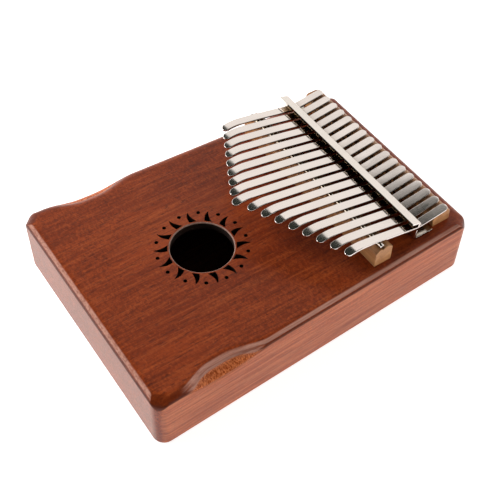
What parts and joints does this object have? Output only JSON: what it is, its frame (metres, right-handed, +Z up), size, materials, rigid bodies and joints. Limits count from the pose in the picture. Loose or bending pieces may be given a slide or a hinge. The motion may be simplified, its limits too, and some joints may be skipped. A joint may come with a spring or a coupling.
{
  "type": "mbira",
  "caption": "Hollow mahogany box with a sun-shaped sound hole, two bridges and a slotted bracket holding a row of steel tines that are plucked with the thumbs.",
  "frame": {"origin": "middle of the underside of the box", "axes": "+X across the tines towards the short-note right side, +Y along the box towards the bracket end, +Z up out of the soundboard"},
  "size_m": [0.1314, 0.185, 0.0536],
  "materials": {
    "mahogany": "satin lacquered mahogany with a straight, ribbon-striped grain",
    "back_mahogany": "satin lacquered mahogany",
    "beech": "plain oiled beech",
    "raw_beech": "raw sawn beech",
    "rod_steel": "polished round rod",
    "bracket_steel": "nickel-plated, polished",
    "screw_steel": "plated pan-head screws",
    "tine_steel": "polished spring steel"
  },
  "bodies": {
    "box": {"body_shell": "mahogany", "back_plate": "back_mahogany", "screw_batten": "raw_beech", "front_bridge": "beech", "bridge_rod": "rod_steel", "rear_bridge": "beech", "bracket": "bracket_steel", "bracket_screws": "screw_steel", "tine_01_tail": "tine_steel", "tine_02_tail": "tine_steel", "tine_03_tail": "tine_steel", "tine_04_tail": "tine_steel", "tine_05_tail": "tine_steel", "tine_06_tail": "tine_steel", "tine_07_tail": "tine_steel", "tine_08_tail": "tine_steel", "tine_09_tail": "tine_steel", "tine_10_tail": "tine_steel", "tine_11_tail": "tine_steel", "tine_12_tail": "tine_steel", "tine_13_tail": "tine_steel", "tine_14_tail": "tine_steel", "tine_15_tail": "tine_steel", "tine_16_tail": "tine_steel", "tine_17_tail": "tine_steel"},
    "tine_01": {"tine_01_tongue": "tine_steel"},
    "tine_02": {"tine_02_tongue": "tine_steel"},
    "tine_03": {"tine_03_tongue": "tine_steel"},
    "tine_04": {"tine_04_tongue": "tine_steel"},
    "tine_05": {"tine_05_tongue": "tine_steel"},
    "tine_06": {"tine_06_tongue": "tine_steel"},
    "tine_07": {"tine_07_tongue": "tine_steel"},
    "tine_08": {"tine_08_tongue": "tine_steel"},
    "tine_09": {"tine_09_tongue": "tine_steel"},
    "tine_10": {"tine_10_tongue": "tine_steel"},
    "tine_11": {"tine_11_tongue": "tine_steel"},
    "tine_12": {"tine_12_tongue": "tine_steel"},
    "tine_13": {"tine_13_tongue": "tine_steel"},
    "tine_14": {"tine_14_tongue": "tine_steel"},
    "tine_15": {"tine_15_tongue": "tine_steel"},
    "tine_16": {"tine_16_tongue": "tine_steel"},
    "tine_17": {"tine_17_tongue": "tine_steel"}
  },
  "joints": [
    {"name": "tine_01_flex", "type": "hinge", "parent": "box", "child": "tine_01", "pos_m": [-0.0504, 0.0373, 0.04385], "axis": [1, 0, 0], "range_deg": [-2, 3], "stiffness_Nm_per_rad": 0.0146},
    {"name": "tine_02_flex", "type": "hinge", "parent": "box", "child": "tine_02", "pos_m": [-0.0441, 0.0373, 0.04385], "axis": [1, 0, 0], "range_deg": [-2, 3], "stiffness_Nm_per_rad": 0.0231},
    {"name": "tine_03_flex", "type": "hinge", "parent": "box", "child": "tine_03", "pos_m": [-0.0378, 0.0373, 0.04385], "axis": [1, 0, 0], "range_deg": [-2, 3], "stiffness_Nm_per_rad": 0.0343},
    {"name": "tine_04_flex", "type": "hinge", "parent": "box", "child": "tine_04", "pos_m": [-0.0315, 0.0373, 0.04385], "axis": [1, 0, 0], "range_deg": [-2, 3], "stiffness_Nm_per_rad": 0.0488},
    {"name": "tine_05_flex", "type": "hinge", "parent": "box", "child": "tine_05", "pos_m": [-0.0252, 0.0373, 0.04385], "axis": [1, 0, 0], "range_deg": [-2, 3], "stiffness_Nm_per_rad": 0.0668},
    {"name": "tine_06_flex", "type": "hinge", "parent": "box", "child": "tine_06", "pos_m": [-0.0189, 0.0373, 0.04385], "axis": [1, 0, 0], "range_deg": [-2, 3], "stiffness_Nm_per_rad": 0.0888},
    {"name": "tine_07_flex", "type": "hinge", "parent": "box", "child": "tine_07", "pos_m": [-0.0126, 0.0373, 0.04385], "axis": [1, 0, 0], "range_deg": [-2, 3], "stiffness_Nm_per_rad": 0.1151},
    {"name": "tine_08_flex", "type": "hinge", "parent": "box", "child": "tine_08", "pos_m": [-0.0063, 0.0373, 0.04385], "axis": [1, 0, 0], "range_deg": [-2, 3], "stiffness_Nm_per_rad": 0.1462},
    {"name": "tine_09_flex", "type": "hinge", "parent": "box", "child": "tine_09", "pos_m": [0, 0.0373, 0.04385], "axis": [1, 0, 0], "range_deg": [-2, 3], "stiffness_Nm_per_rad": 0.1766},
    {"name": "tine_10_flex", "type": "hinge", "parent": "box", "child": "tine_10", "pos_m": [0.0063, 0.0373, 0.04385], "axis": [1, 0, 0], "range_deg": [-2, 3], "stiffness_Nm_per_rad": 0.1301},
    {"name": "tine_11_flex", "type": "hinge", "parent": "box", "child": "tine_11", "pos_m": [0.0126, 0.0373, 0.04385], "axis": [1, 0, 0], "range_deg": [-2, 3], "stiffness_Nm_per_rad": 0.1014},
    {"name": "tine_12_flex", "type": "hinge", "parent": "box", "child": "tine_12", "pos_m": [0.0189, 0.0373, 0.04385], "axis": [1, 0, 0], "range_deg": [-2, 3], "stiffness_Nm_per_rad": 0.0773},
    {"name": "tine_13_flex", "type": "hinge", "parent": "box", "child": "tine_13", "pos_m": [0.0252, 0.0373, 0.04385], "axis": [1, 0, 0], "range_deg": [-2, 3], "stiffness_Nm_per_rad": 0.0573},
    {"name": "tine_14_flex", "type": "hinge", "parent": "box", "child": "tine_14", "pos_m": [0.0315, 0.0373, 0.04385], "axis": [1, 0, 0], "range_deg": [-2, 3], "stiffness_Nm_per_rad": 0.0411},
    {"name": "tine_15_flex", "type": "hinge", "parent": "box", "child": "tine_15", "pos_m": [0.0378, 0.0373, 0.04385], "axis": [1, 0, 0], "range_deg": [-2, 3], "stiffness_Nm_per_rad": 0.0283},
    {"name": "tine_16_flex", "type": "hinge", "parent": "box", "child": "tine_16", "pos_m": [0.0441, 0.0373, 0.04385], "axis": [1, 0, 0], "range_deg": [-2, 3], "stiffness_Nm_per_rad": 0.0185},
    {"name": "tine_17_flex", "type": "hinge", "parent": "box", "child": "tine_17", "pos_m": [0.0504, 0.0373, 0.04385], "axis": [1, 0, 0], "range_deg": [-2, 3], "stiffness_Nm_per_rad": 0.0113}
  ]
}
